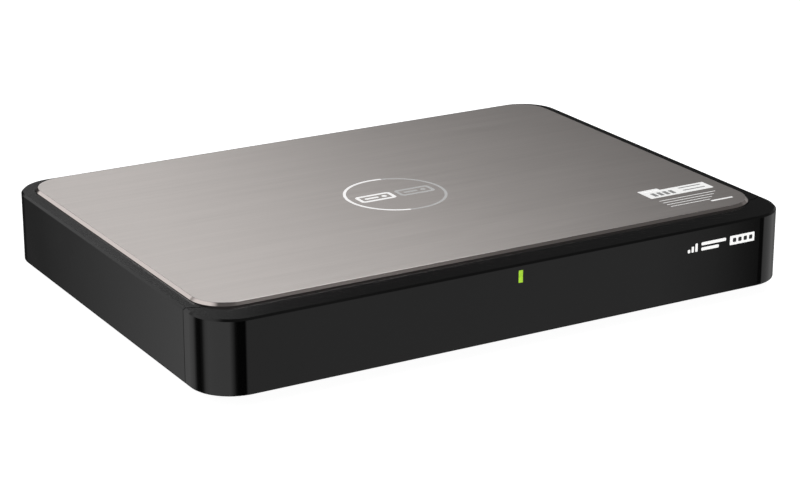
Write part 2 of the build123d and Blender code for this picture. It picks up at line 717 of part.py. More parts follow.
def make_backplane_board():
    """The board behind the bays, with slots that let air past."""
    board = block((CAGE_LEFT + 3, CAGE_RIGHT - 2), (BACKPLANE_FRONT, BACKPLANE_REAR), BACKPLANE_Z)
    for x in BAY_X:
        for step in (-2, -1, 0, 1, 2):
            middle = x + step * BACKPLANE_HOLE_PITCH
            board -= block(
                (middle - BACKPLANE_HOLE_HALF, middle + BACKPLANE_HOLE_HALF),
                (BACKPLANE_FRONT, BACKPLANE_REAR), BACKPLANE_HOLE_Z,
            )
    for x, z in backplane_screw_places():
        board -= lengthwise(SCREW_RADIUS + HOLE_GAP, x, z, BACKPLANE_FRONT, BACKPLANE_REAR)
    return board


def backplane_screw_places():
    """Where the backplane is screwed to the lugs of the cage."""
    return [(x, BACKPLANE_SCREW_Z) for x in BACKPLANE_SCREW_X]


def make_backplane_screws():
    screws = []
    for x, z in backplane_screw_places():
        head = lengthwise(HEAD_RADIUS, x, z, BACKPLANE_REAR, BACKPLANE_REAR + HEAD_HEIGHT)
        screws.append(head + lengthwise(SCREW_RADIUS, x, z, BACKPLANE_FRONT - 2, BACKPLANE_REAR))
    return screws


def make_drive_sockets():
    """The two sockets that the drives slide onto."""
    sockets = []
    for x in BAY_X:
        middle = x + SOCKET_OFFSET
        half = SOCKET_WIDTH / 2
        sockets.append(block(
            (middle - half, middle + half), (DRIVE_REAR + GAP, BACKPLANE_FRONT),
            (DRIVE_BOTTOM - HOLE_GAP, DRIVE_BOTTOM - HOLE_GAP + SOCKET_HEIGHT),
        ))
    return sockets


def make_backplane_link():
    """The connector between the backplane and the mainboard."""
    return block(LINK_X, (BACKPLANE_REAR, LINK_REAR), (BOARD_TOP, LINK_TOP))


# ---------------------------------------------------------------- mainboard

def make_mainboard():
    outline = make_face(Polyline(BOARD_OUTLINE, close=True))
    board = Pos(0, 0, BOARD_BOTTOM) * extrude(outline, BOARD_TOP - BOARD_BOTTOM)
    for x, y in BOARD_SCREWS + SINK_PINS:
        board -= upright(SCREW_RADIUS + HOLE_GAP, x, y, BOARD_BOTTOM, BOARD_TOP)
    return board


def make_board_spacers():
    """Hexagonal spacers between the bottom cover and the mainboard."""
    spacers = []
    for x, y in BOARD_SCREWS:
        spacer = Pos(x, y, PAN_TOP) * extrude(RegularPolygon(SPACER_RADIUS, 6), BOARD_BOTTOM - PAN_TOP)
        spacers.append(spacer - upright(SCREW_RADIUS + HOLE_GAP, x, y, PAN_TOP, BOARD_BOTTOM))
    return spacers


def make_board_screws():
    return [screw(x, y, BOARD_TOP, BOARD_BOTTOM - GAP) for x, y in BOARD_SCREWS]


def around_chip(half, low, high):
    """A block over the middle of the processor."""
    x, y = CHIP_CENTRE
    return block((x - half[0], x + half[0]), (y - half[1], y + half[1]), (low, high))


def make_processor():
    """The processor package with its bare die."""
    package = around_chip(PACKAGE_HALF, BOARD_TOP, PACKAGE_TOP)
    return package + around_chip(DIE_HALF, PACKAGE_TOP, DIE_TOP)


def make_thermal_pad():
    return around_chip(PAD_HALF, DIE_TOP, SINK_BOTTOM)


def make_heat_sink():
    """A finned aluminium block that cools the processor without a fan."""
    base_top = SINK_BOTTOM + SINK_BASE
    body = block(SINK_X, SINK_Y, (SINK_BOTTOM, base_top))
    first = SINK_X[0] + FIN_MARGIN
    pitch = (SINK_X[1] - SINK_X[0] - 2 * FIN_MARGIN - FIN_THICKNESS) / (FIN_COUNT - 1)
    for index in range(FIN_COUNT):
        left = first + index * pitch
        body += block((left, left + FIN_THICKNESS), SINK_Y, (base_top, SINK_TOP))
    for x, y in SINK_PINS:
        body -= upright(SCREW_RADIUS + HOLE_GAP, x, y, SINK_BOTTOM, base_top)
    return body


def make_heat_sink_pins():
    """Spring pins that press the heat sink onto the processor."""
    pins = []
    base_top = SINK_BOTTOM + SINK_BASE
    low = BOARD_BOTTOM - PIN_TIP_LENGTH
    for x, y in SINK_PINS:
        head = upright(HEAD_RADIUS, x, y, base_top, base_top + PIN_HEAD_HEIGHT)
        shank = upright(SCREW_RADIUS, x, y, low, base_top)
        tip = upright(PIN_TIP_RADIUS, x, y, low, BOARD_BOTTOM)
        pins.append(head + shank + tip)
    return pins


def module_block(socket_y, grow):
    """The space of one memory module above the board."""
    length, depth, thickness = MODULE_SIZE
    return block(
        (MEMORY_X - length / 2 - grow, MEMORY_X + length / 2 + grow),
        (socket_y + MODULE_SETBACK, socket_y + MODULE_SETBACK + depth),
        (MODULE_BOTTOM - grow, MODULE_BOTTOM + thickness + grow),
    )


def make_memory_sockets():
    """Two sockets that hold the memory modules flat above the board."""
    sockets = []
    for socket_y in MEMORY_SOCKET_Y:
        left = MEMORY_X - MEMORY_SOCKET_HALF
        right = MEMORY_X + MEMORY_SOCKET_HALF
        arm_y = socket_y + MEMORY_SOCKET_DEPTH
        body = block((left, right), (socket_y, arm_y), (BOARD_TOP, MEMORY_SOCKET_TOP))
        for side in (left, right - MEMORY_ARM):
            body += block(
                (side, side + MEMORY_ARM), (arm_y, arm_y + MEMORY_ARM_LENGTH),
                (BOARD_TOP, MEMORY_ARM_TOP),
            )
        sockets.append(body - module_block(socket_y, MEMORY_GAP))
    return sockets


def make_memory_module(socket_y):
    """A memory module with four chips on its upper face."""
    body = module_block(socket_y, 0)
    top = MODULE_BOTTOM + MODULE_SIZE[2]
    for step in (-1.5, -0.5, 0.5, 1.5):
        x = MEMORY_X + step * MEMORY_CHIP_PITCH
        body += block(
            (x - MEMORY_CHIP_HALF, x + MEMORY_CHIP_HALF), moved(MEMORY_CHIP_Y, socket_y), (top, top + 1),
        )
    return body


def make_cell_holder():
    top = BOARD_TOP + HOLDER_HEIGHT
    body = upright(HOLDER_RADIUS, *CELL_CENTRE, BOARD_TOP, top)
    return body - upright(CELL_RADIUS + HOLE_GAP, *CELL_CENTRE, BOARD_TOP + HOLDER_FLOOR, top)


def make_coin_cell():
    """The small battery that keeps the clock running."""
    low = BOARD_TOP + HOLDER_FLOOR
    return upright(CELL_RADIUS, *CELL_CENTRE, low, low + CELL_HEIGHT)


def make_storage_module():
    """The plug-in flash module that the box starts from."""
    return block(*STORAGE_PLUG) + block(*STORAGE_CARD) + block(*STORAGE_CHIP)


def make_network_chips():
    half = NETWORK_CHIP_SIZE / 2
    return [block((x - half, x + half), NETWORK_CHIP_Y, (BOARD_TOP, BOARD_TOP + 1)) for x in LAN_X]


def make_inductors():
    coils = []
    half = (COIL_Y[1] - COIL_Y[0]) / 2
    for x in COIL_X:
        coil = block((x - half, x + half), COIL_Y, (BOARD_TOP, BOARD_TOP + COIL_HEIGHT))
        coils.append(fillet(coil.edges().filter_by(Axis.Z), COIL_ROUND))
    return coils


def make_capacitors():
    cans = []
    for x in CAN_X:
        can = upright(CAN_RADIUS, x, CAN_Y, BOARD_TOP, BOARD_TOP + CAN_HEIGHT)
        cans.append(fillet(can.edges().group_by(Axis.Z)[-1], CAN_ROUND))
    return cans


def make_buzzer():
    top = BOARD_TOP + BUZZER_HEIGHT
    body = upright(BUZZER_RADIUS, *BUZZER_CENTRE, BOARD_TOP, top)
    return body - upright(BUZZER_HOLE, *BUZZER_CENTRE, top - BUZZER_HOLE_DEPTH, top)


# ---------------------------------------------------------------- rear ports

def port_block(x, size):
    """The outer block of a port that stands on the mainboard and shows at the rear."""
    width, depth, height = size
    return block(
        (x - width / 2, x + width / 2), (PORT_REAR - depth, PORT_REAR),
        (BOARD_TOP, BOARD_TOP + height),
    )


def make_rear_panel():
    """The steel panel with the port openings, seen through the window of the housing."""
    through = (PANEL_FRONT, PANEL_REAR)
    body = block((-PANEL_HALF_WIDTH, PANEL_HALF_WIDTH), through, PANEL_Z)
    ports = [(POWER_JACK_X, POWER_JACK_SIZE), (HDMI_X, HDMI_SIZE)]
    ports += [(x, USB_SIZE) for x in USB_X]
    ports += [(x, LAN_SIZE) for x in LAN_X]
    for x, size in ports:
        half = size[0] / 2 + PORT_GAP
        body -= block(
            (x - half, x + half), through, (BOARD_TOP - PORT_GAP, BOARD_TOP + size[2] + PORT_GAP),
        )
    body -= lengthwise(POWER_CAP_RADIUS + GAP, POWER_BUTTON_X, BUTTON_Z, *through)
    body -= lengthwise(RESET_PIN_RADIUS + GAP, RESET_X, BUTTON_Z, *through)
    body -= block(
        (LOCK_SLOT_X - LOCK_SLOT_HALF, LOCK_SLOT_X + LOCK_SLOT_HALF), through, LOCK_SLOT_Z,
    )
    for column in range(VENT_COUNT[0]):
        for row in range(VENT_COUNT[1]):
            left = VENT_LEFT + column * VENT_PITCH[0]
            low = VENT_LOW + row * VENT_PITCH[1]
            body -= block((left, left + VENT_SIZE), through, (low, low + VENT_SIZE))
    for x in RIVET_X:
        body -= lengthwise(SCREW_RADIUS + HOLE_GAP, x, RIVET_Z, *through)
    return body


def make_panel_rivets():
    """Two blind rivets that hold the rear panel."""
    rivets = []
    head_radius, head_height = RIVET_HEAD
    for x in RIVET_X:
        head = lengthwise(head_radius, x, RIVET_Z, PANEL_REAR, PANEL_REAR + head_height)
        rivets.append(head + lengthwise(SCREW_RADIUS, x, RIVET_Z, PANEL_FRONT - 3, PANEL_REAR))
    return rivets


def make_power_jack():
    """The round low-voltage inlet with its centre pin."""
    body = port_block(POWER_JACK_X, POWER_JACK_SIZE)
    middle = BOARD_TOP + POWER_JACK_SIZE[2] / 2
    body -= lengthwise(JACK_BORE, POWER_JACK_X, middle, PORT_REAR - JACK_DEPTH, PORT_REAR)
    return body + lengthwise(
        JACK_PIN, POWER_JACK_X, middle, PORT_REAR - JACK_DEPTH - PAST, PORT_REAR - 1,
    )


def make_hdmi_port():
    """A video socket: a wide shell with its tongue."""
    body = port_block(HDMI_X, HDMI_SIZE)
    low = BOARD_TOP + HDMI_RISE
    opening = Polyline(
        (-7, low + 4.7), (-7, low + 2.0), (-5.2, low), (5.2, low), (7, low + 2.0), (7, low + 4.7),
        close=True,
    )
    rear = PORT_REAR - HDMI_DEPTH
    hole = Pos(HDMI_X, rear, 0) * Rot(90, 0, 0) * extrude(make_face(opening), -HDMI_DEPTH - PAST)
    tongue = block(
        (HDMI_X - HDMI_TONGUE_HALF, HDMI_X + HDMI_TONGUE_HALF), (rear - PAST, PORT_REAR - 2),
        (low + 2, low + 3.1),
    )
    return body - hole + tongue


def make_usb_ports(x):
    """Two stacked sockets, each with its tongue."""
    body = port_block(x, USB_SIZE)
    rear = PORT_REAR - USB_DEPTH
    for low in USB_LEVELS:
        body -= block((x - USB_HALF, x + USB_HALF), (rear, PORT_REAR), (low, low + USB_OPENING))
        body += block(
            (x - USB_TONGUE_HALF, x + USB_TONGUE_HALF), (rear - PAST, PORT_REAR - 1.2),
            moved(USB_TONGUE_Z, low),
        )
    return body


def make_lan_port(x):
    """A network socket with the notch for the plug's latch."""
    body = port_block(x, LAN_SIZE)
    low = BOARD_TOP + LAN_RISE
    deep = (PORT_REAR - LAN_DEPTH, PORT_REAR)
    body -= block((x - LAN_HALF, x + LAN_HALF), deep, (low, low + LAN_OPENING))
    return body - block((x - LATCH_HALF, x + LATCH_HALF), deep, (low - LATCH_DROP, low))


def push_switch(x, size, plunger):
    """A push switch on the mainboard, with its plunger towards the rear."""
    half, deep, top = size
    radius, reach = plunger
    body = block((x - half, x + half), deep, (BOARD_TOP, top))
    return body + lengthwise(radius, x, BUTTON_Z, deep[1], deep[1] + reach)


def make_power_switch():
    return push_switch(POWER_BUTTON_X, POWER_SWITCH, POWER_PLUNGER)


def make_power_button():
    """The power button, with the flange that keeps it behind the panel."""
    place = (POWER_BUTTON_X, BUTTON_Z)
    cap = lengthwise(POWER_CAP_RADIUS, *place, POWER_CAP_FRONT, PORT_REAR)
    cap = fillet(cap.edges().group_by(Axis.Y)[-1], POWER_CAP_ROUND)
    flange = lengthwise(POWER_FLANGE_RADIUS, *place, FLANGE_FRONT, PANEL_FRONT - GAP)
    return cap + flange + lengthwise(POWER_STEM_RADIUS, *place, POWER_STEM_FRONT, POWER_CAP_FRONT)


def make_reset_switch():
    return push_switch(RESET_X, RESET_SWITCH, RESET_PLUNGER)


def make_reset_button():
    """The small recessed reset button."""
    place = (RESET_X, BUTTON_Z)
    pin = lengthwise(RESET_PIN_RADIUS, *place, RESET_PIN_FRONT, PANEL_REAR - RESET_RECESS)
    return pin + lengthwise(RESET_FLANGE_RADIUS, *place, FLANGE_FRONT, PANEL_FRONT - GAP)


# ---------------------------------------------------------------- all pieces

PIECES = {
    "top_plate": make_top_plate(),
    "top_housing": make_top_housing(),
    "front_cover": make_front_cover(),
    "status_lens": make_status_lens(),
    "light_guide": make_light_guide(),
    "bottom_cover": make_bottom_cover(),
    "rubber_feet": make_rubber_feet(),
    "case_screws": make_case_screws(),
    "front_frame": make_front_frame(),
    "front_board": make_front_board(),
    "status_led": make_status_led(),
    "infrared_receiver": make_infrared_receiver(),
    "ribbon_cable": make_ribbon_cable(),
    "ribbon_sockets": make_ribbon_sockets(),
    "drive_cage": make_drive_cage(),
    "backplane_board": make_backplane_board(),
    "backplane_screws": make_backplane_screws(),
    "drive_sockets": make_drive_sockets(),
    "backplane_link": make_backplane_link(),
    "mainboard": make_mainboard(),
    "board_spacers": make_board_spacers(),
    "board_screws": make_board_screws(),
    "processor": make_processor(),
    "thermal_pad": make_thermal_pad(),
    "heat_sink": make_heat_sink(),
    "heat_sink_pins": make_heat_sink_pins(),
    "memory_sockets": make_memory_sockets(),
    "coin_cell": make_coin_cell(),
    "cell_holder": make_cell_holder(),
    "storage_module": make_storage_module(),
    "network_chips": make_network_chips(),
    "inductors": make_inductors(),
    "capacitors": make_capacitors(),
    "buzzer": make_buzzer(),
    "rear_panel": make_rear_panel(),
    "panel_rivets": make_panel_rivets(),
    "power_jack": make_power_jack(),
    "hdmi_port": make_hdmi_port(),
    "usb_ports": [make_usb_ports(x) for x in USB_X],
    "lan_ports": [make_lan_port(x) for x in LAN_X],
    "power_switch": make_power_switch(),
    "power_button": make_power_button(),
    "reset_switch": make_reset_switch(),
    "reset_button": make_reset_button(),
}
for number, (drive_x, socket_y) in enumerate(zip(BAY_X, MEMORY_SOCKET_Y), start=1):
    PIECES[f"tray_{number}"] = make_tray(drive_x)
    PIECES[f"tray_{number}_handle"] = make_tray_handle(drive_x)
    PIECES[f"drive_{number}_case"] = make_drive_case(drive_x)
    PIECES[f"drive_{number}_lid"] = make_drive_lid(drive_x)
    PIECES[f"drive_{number}_board"] = make_drive_board(drive_x)
    PIECES[f"drive_{number}_connector"] = make_drive_connector(drive_x)
    PIECES[f"drive_{number}_screws"] = make_drive_screws(drive_x)
    PIECES[f"memory_module_{number}"] = make_memory_module(socket_y)

os.makedirs("parts", exist_ok=True)
for name, piece in PIECES.items():
    solids = piece if isinstance(piece, list) else [piece]
    export_step(Compound(children=solids), f"parts/{name}.step")
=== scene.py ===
import json
from math import cos, pi, radians, sin

import bmesh
import bpy
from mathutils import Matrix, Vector


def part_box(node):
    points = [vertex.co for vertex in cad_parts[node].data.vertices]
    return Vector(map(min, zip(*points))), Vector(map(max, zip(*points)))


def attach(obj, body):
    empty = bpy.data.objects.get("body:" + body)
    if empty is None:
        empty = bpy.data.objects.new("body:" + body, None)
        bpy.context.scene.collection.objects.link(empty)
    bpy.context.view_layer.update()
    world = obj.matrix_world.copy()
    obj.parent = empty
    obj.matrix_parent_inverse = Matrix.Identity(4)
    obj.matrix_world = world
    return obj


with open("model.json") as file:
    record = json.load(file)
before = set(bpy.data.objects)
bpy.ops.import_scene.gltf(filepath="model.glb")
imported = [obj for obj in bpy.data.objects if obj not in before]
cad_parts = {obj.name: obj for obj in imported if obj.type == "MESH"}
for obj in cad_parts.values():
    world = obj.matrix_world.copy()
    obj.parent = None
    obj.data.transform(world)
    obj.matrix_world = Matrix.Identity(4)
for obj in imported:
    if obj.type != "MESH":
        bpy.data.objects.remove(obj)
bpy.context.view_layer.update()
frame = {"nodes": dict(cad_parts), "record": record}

# A slim network storage box: black case, brushed aluminium top, glossy pull-off front cover.
# Metres throughout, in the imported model's frame: the front faces -Y and Z is up.

MM = 0.001
CASE_LOW, CASE_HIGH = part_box("top_housing")
COVER_LOW, COVER_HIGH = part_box("front_cover")
PLATE_LOW, PLATE_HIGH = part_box("top_plate")


# ------------------------------------------------------------------ camera, floor and light

# The camera was fitted to the outline in the photograph. The lens and its sensor are in millimetres.
CAMERA_AZIMUTH = radians(-30.15)
CAMERA_ELEVATION = radians(19.18)
CAMERA_DISTANCE = 1.1476
CAMERA_AIM = Vector((0.0004, -0.0041, 0.0143))
CAMERA_LENS = 108.5
SENSOR_WIDTH = 36.0
NEAREST_SEEN, FARTHEST_SEEN = 0.01, 60.0

# Places of the colour sockets on Blender's Mix node.
MIX_FIRST = 6
MIX_SECOND = 7
MIX_RESULT = 2

FLOOR_SIZE = 14.0
FLOOR_COLOUR = (0.5, 0.5, 0.5)
FLOOR_CLOUD = 0.01
FLOOR_GLOW = 1.9
# The part of the floor that the box covers gives almost no light: a painted shadow under the box.
UNDER_SHADOW_COLOUR = (0.02, 0.02, 0.02)
UNDER_SHADOW_INSET = Vector((0.012, 0.012, 0))
BACKGROUND = (0.95, 0.95, 0.95)

# Name, centre, width along X, depth along Y and power in watts of each soft box. They all face down.
# Their places and sizes come from a fit to the shading of the plate in the photograph.
SOFT_BOXES = [
    ("overhead", (0.293, -0.175, 0.95), 0.442, 0.25, 4.55),
    ("behind", (0.443, 1.55, 0.95), 0.435, 0.9, 2.55),
]

# The studio's grey panels stand in three rows. The lowest is the one that the upright walls mirror:
# the azimuth in degrees from +Y towards +X where each shade holds, and its brightness. The shades of
# the two lower rows were chosen from the brightness of the walls and rims in the photograph.
LOW_PANELS = [
    (-180, 0.0), (-170, 0.0), (-164, 0.07), (-156, 0.55), (-149, 0.97), (-95, 0.97), (-86, 0.77),
    (-76, 0.1), (-68, 0.01), (-57, 0.04), (-45, 0.53), (-25.2, 0.53), (-24.6, 0.42), (-21, 0.09),
    (-7, 0.02), (20, 0.1), (58, 0.23), (69, 0.31), (84, 0.65), (124, 0.6), (128, 0.02), (141.0, 0.03),
    (142.4, 0.48), (166, 0.5), (171.5, 0.0), (180, 0.0),
]
# The row above it, which the flat rim around the plate mirrors, by azimuth again.
RIM_PANELS = [
    (-180, 0.3), (-60, 0.1), (-29, 0.1), (-26, 0.8), (-15, 0.8), (-12, 0.1), (5, 0.1), (17, 0.24),
    (25, 0.2), (27, 0.055), (45, 0.055), (90, 0.2), (180, 0.3),
]
# The row overhead, by how far the direction leans to +X, from -1 to 1.
HIGH_PANELS = [(-1.0, 0.8), (-0.5, 0.8), (-0.35, 0.1), (1.0, 0.1)]
# Heights of the direction, from -1 to 1, between which one row gives way to the next.
LOW_TO_RIM = (0.18, 0.25)
RIM_TO_HIGH = (0.4, 0.5)


def make_camera():
    data = bpy.data.cameras.new("camera")
    data.lens = CAMERA_LENS
    data.sensor_width = SENSOR_WIDTH
    data.clip_start = NEAREST_SEEN
    data.clip_end = FARTHEST_SEEN
    camera = bpy.data.objects.new("camera", data)
    bpy.context.scene.collection.objects.link(camera)
    away = Vector((
        sin(CAMERA_AZIMUTH) * cos(CAMERA_ELEVATION),
        -cos(CAMERA_AZIMUTH) * cos(CAMERA_ELEVATION),
        sin(CAMERA_ELEVATION),
    ))
    camera.location = CAMERA_AIM + away * CAMERA_DISTANCE
    camera.rotation_euler = away.to_track_quat("Z", "Y").to_euler()
    bpy.context.scene.camera = camera


def make_soft_box(name, centre, width, depth, power):
    data = bpy.data.lights.new(name, "AREA")
    data.shape = "RECTANGLE"
    data.size = width
    data.size_y = depth
    data.energy = power
    light = bpy.data.objects.new(name, data)
    light.location = centre
    bpy.context.scene.collection.objects.link(light)


class Graph:
    """A node tree while it is being built."""

    def __init__(self, tree):
        self.nodes = tree.nodes
        self.links = tree.links

    def add(self, kind, **settings):
        node = self.nodes.new(kind)
        for name, value in settings.items():
            setattr(node, name, value)
        return node

    def split(self, vector):
        """The three parts of a vector."""
        node = self.add("ShaderNodeSeparateXYZ")
        self.links.new(vector, node.inputs["Vector"])
        return node.outputs

    def math(self, operation, first, second):
        node = self.add("ShaderNodeMath", operation=operation)
        for index, value in enumerate((first, second)):
            if isinstance(value, bpy.types.NodeSocket):
                self.links.new(value, node.inputs[index])
            else:
                node.inputs[index].default_value = value
        return node.outputs["Value"]

    def spread(self, factor, low, high, start=0.3, end=0.7):
        """Maps a factor onto a range of values."""
        node = self.add("ShaderNodeMapRange")
        node.inputs["From Min"].default_value = start
        node.inputs["From Max"].default_value = end
        node.inputs["To Min"].default_value = low
        node.inputs["To Max"].default_value = high
        self.links.new(factor, node.inputs["Value"])
        return node.outputs["Result"]

    def between(self, factor, first, second):
        """Mixes two colours, each a constant or a link."""
        node = self.add("ShaderNodeMix", data_type="RGBA")
        self.links.new(factor, node.inputs["Factor"])
        for socket, colour in ((node.inputs[MIX_FIRST], first), (node.inputs[MIX_SECOND], second)):
            if isinstance(colour, bpy.types.NodeSocket):
                self.links.new(colour, socket)
            else:
                socket.default_value = (*colour, 1.0)
        return node.outputs[MIX_RESULT]


class World(Graph):
    """The node tree of the studio around the object."""

    def __init__(self, name):
        self.world = bpy.data.worlds.new(name)
        self.world.use_nodes = True
        super().__init__(self.world.node_tree)
        self.background = self.nodes["Background"]
        self.x, self.y, self.z = self.split(self.add("ShaderNodeTexCoord").outputs["Generated"])
        self.azimuth = self.math("ARCTAN2", self.x, self.y)

    def share(self, value, low, high):
        """How far a value is between two others, from 0 to 1."""
        return self.spread(value, 0.0, 1.0, start=low, end=high)

    def panels(self, value, low, high, stops):
        """A row of grey panels along a value, with soft edges between them."""
        ramp = self.add("ShaderNodeValToRGB")
        self.links.new(self.share(value, low, high), ramp.inputs["Fac"])
        places = ramp.color_ramp.elements
        for index, (place, shade) in enumerate(stops):
            along = (place - stops[0][0]) / (stops[-1][0] - stops[0][0])
            stop = places[index] if index < 2 else places.new(along)
            stop.position = along
            stop.color = (shade, shade, shade, 1.0)
        return ramp.outputs["Color"]


def make_world():
    studio = World("studio")
    low = studio.panels(studio.azimuth, -pi, pi, LOW_PANELS)
    rim = studio.panels(studio.azimuth, -pi, pi, RIM_PANELS)
    high = studio.panels(studio.x, -1.0, 1.0, HIGH_PANELS)
    above = studio.between(studio.share(studio.z, *RIM_TO_HIGH), rim, high)
    around = studio.between(studio.share(studio.z, *LOW_TO_RIM), low, above)
    seen = studio.add("ShaderNodeLightPath").outputs["Is Camera Ray"]
    studio.links.new(studio.between(seen, around, BACKGROUND), studio.background.inputs["Color"])
    bpy.context.scene.world = studio.world
    bpy.context.scene.view_settings.view_transform = "Standard"


# ------------------------------------------------------------------ node materials

class Finish(Graph):
    """A node material while it is being built."""

    def __init__(self, name, **sockets):
        self.material = bpy.data.materials.new(name)
        self.material.use_nodes = True
        super().__init__(self.material.node_tree)
        self.shader = self.nodes["Principled BSDF"]
        self.place = self.add("ShaderNodeTexCoord").outputs["Object"]
        for socket, value in sockets.items():
            self.set(socket.replace("_", " ").title().replace("Ior", "IOR"), value)

    def set(self, socket, value):
        """Gives a shader socket a constant or a link."""
        if isinstance(value, bpy.types.NodeSocket):
            self.links.new(value, self.shader.inputs[socket])
        elif isinstance(value, tuple) and len(value) == 3:
            self.shader.inputs[socket].default_value = (*value, 1.0)
        else:
            self.shader.inputs[socket].default_value = value

    def noise(self, grain, detail=3.0, roughness=0.55, offset=0.0):
        """Noise whose grain is given in metres, as one size or one for each axis."""
        sizes = grain if isinstance(grain, tuple) else (grain, grain, grain)
        mapping = self.add("ShaderNodeMapping")
        mapping.inputs["Scale"].default_value = [1.0 / size for size in sizes]
        mapping.inputs["Location"].default_value = (offset, offset, offset)
        self.links.new(self.place, mapping.inputs["Vector"])
        texture = self.add("ShaderNodeTexNoise")
        texture.inputs["Scale"].default_value = 1.0
        texture.inputs["Detail"].default_value = detail
        texture.inputs["Roughness"].default_value = roughness
        self.links.new(mapping.outputs["Vector"], texture.inputs["Vector"])
        return texture.outputs["Fac"]

    def inside(self, low, high):
        """1 inside a box of space and 0 outside it."""
        mask = 1.0
        for along, bottom, top in zip(self.split(self.place), low, high):
            above = self.math("GREATER_THAN", along, bottom)
            below = self.math("LESS_THAN", along, top)
            mask = self.math("MULTIPLY", mask, self.math("MULTIPLY", above, below))
        return mask

    def bump(self, height, depth):
        """Raises the surface by up to depth metres."""
        node = self.add("ShaderNodeBump")
        node.inputs["Distance"].default_value = depth
        self.links.new(height, node.inputs["Height"])
        self.set("Normal", node.outputs["Normal"])


# Reach past a box of space, so that a mask takes in the skin of what is in it.
BEYOND = Vector((MM, MM, MM))
# The satin grain of the rim: its size, its roughness, and how far below the top it starts.
RIM_GRAIN = 0.0005
RIM_ROUGH = (0.05, 0.11)
RIM_EDGE = 1.0 * MM
# The plate's polished edge: how far below the top face it starts, its colour, and its share of the
# face's roughness.
LIP_STEP = 0.1 * MM
LIP_COLOUR = (0.78, 0.70, 0.67)
LIP_ROUGH = 0.2
# Where the foil's painted highlight stops: how far that line leans, its place and its softness.
FOIL_GLINT_LEAN = 0.23
FOIL_GLINT_EDGE = -0.2 * MM
FOIL_GLINT_BLUR = 0.8 * MM
# The tongues in the USB ports: the middle of each stack from the side of the block, the openings'
# floors, and in each opening the tongue's half width, its two ends from the back and its two faces.
TONGUE_INSET = 7.2 * MM
PORT_FLOORS = (1.2 * MM, 9.2 * MM)
TONGUE_REACH = 5.65 * MM
TONGUE_ENDS = (13.2 * MM, 1.15 * MM)
TONGUE_FACES = (2.85 * MM, 4.85 * MM)
BLUE_TONGUE = (0.02, 0.12, 0.55)
PALE_TONGUE = (0.72, 0.71, 0.68)


def brushed_plate():
    """Anodised aluminium, brushed along the width of the box, with a polished edge."""
    finish = Finish("brushed_plate", metallic=1.0, anisotropic=0.8)
    across = finish.add("ShaderNodeTangent", direction_type="RADIAL", axis="X")
    finish.set("Tangent", across.outputs["Tangent"])
    streaks = finish.noise((0.060, 0.00035, 0.02), detail=5.0, roughness=0.7)
    broad = finish.noise((0.16, 0.004, 0.02), detail=3.0, offset=3.0)
    lip_high = Vector((PLATE_HIGH.x + BEYOND.x, PLATE_HIGH.y + BEYOND.y, PLATE_HIGH.z - LIP_STEP))
    lip = finish.inside(PLATE_LOW - BEYOND, lip_high)
    tint = finish.between(finish.spread(streaks, 0.0, 1.0), (0.58, 0.545, 0.525), (0.66, 0.62, 0.60))
    cloud = finish.between(finish.spread(broad, 0.0, 1.0), (0.95, 0.95, 0.95), (1.0, 1.0, 1.0))
    brushed = finish.add("ShaderNodeMix", data_type="RGBA", blend_type="MULTIPLY")
    brushed.inputs["Factor"].default_value = 1.0
    finish.links.new(tint, brushed.inputs[MIX_FIRST])
    finish.links.new(cloud, brushed.inputs[MIX_SECOND])
    finish.set("Base Color", finish.between(lip, brushed.outputs[MIX_RESULT], LIP_COLOUR))
    shine = finish.spread(streaks, 0.42, 0.48)
    less = finish.spread(lip, 1.0, LIP_ROUGH, start=0.0, end=1.0)
    finish.set("Roughness", finish.math("MULTIPLY", shine, less))
    finish.bump(streaks, 0.000002)
    return finish.material


def moulded(name, dark, light, rough, grain, depth, level=0.5):
    """Moulded plastic: a little unevenness in colour and shine, and a fine skin."""
    finish = Finish(name, specular_ior_level=level)
    cloud = finish.noise(0.03, detail=4.0)
    skin = finish.noise(grain, detail=2.0, offset=5.0)
    finish.set("Base Color", finish.between(finish.spread(cloud, 0.0, 1.0), dark, light))
    finish.set("Roughness", finish.spread(cloud, rough[0], rough[1]))
    finish.bump(skin, depth)
    return finish.material


def black_shell(name, dark, light, rough, grain, depth, level):
    """Polished black plastic walls below a rim with a fine satin grain."""
    finish = Finish(name, specular_ior_level=level)
    cloud = finish.noise(0.03, detail=4.0)
    skin = finish.noise(grain, detail=2.0, offset=5.0)
    tooth = finish.noise(RIM_GRAIN, detail=3.0, offset=9.0)
    rim_low = Vector((COVER_LOW.x - BEYOND.x, COVER_LOW.y - BEYOND.y, COVER_HIGH.z - RIM_EDGE))
    rim = finish.inside(rim_low, CASE_HIGH + BEYOND)
    finish.set("Base Color", finish.between(finish.spread(cloud, 0.0, 1.0), dark, light))
    polish = finish.spread(cloud, rough[0], rough[1])
    satin = finish.spread(tooth, *RIM_ROUGH)
    finish.set("Roughness", finish.math("ADD", polish, finish.math("MULTIPLY", rim, satin)))
    finish.bump(skin, depth)
    return finish.material


def metal(name, dark, light, rough, grain, depth):
    """Bare or plated metal with a directional grain and faint handling marks."""
    finish = Finish(name, metallic=1.0)
    lines = finish.noise(grain, detail=4.0, roughness=0.65)
    marks = finish.noise(0.012, detail=5.0, offset=7.0)
    finish.set("Base Color", finish.between(finish.spread(marks, 0.0, 1.0), dark, light))
    finish.set("Roughness", finish.spread(lines, rough[0], rough[1]))
    finish.bump(lines, depth)
    return finish.material


def lit_lens():
    """Tinted window with the light on behind it, a little cloudy."""
    finish = Finish("lit_lens", roughness=0.12, transmission_weight=0.25)
    cloud = finish.noise(0.0012, detail=3.0)
    colour = finish.between(finish.spread(cloud, 0.0, 1.0), (0.30, 0.56, 0.02), (0.42, 0.70, 0.035))
    finish.set("Base Color", colour)
    finish.set("Emission Color", colour)
    finish.set("Emission Strength", 0.4)
    finish.bump(cloud, 0.00002)
    return finish.material


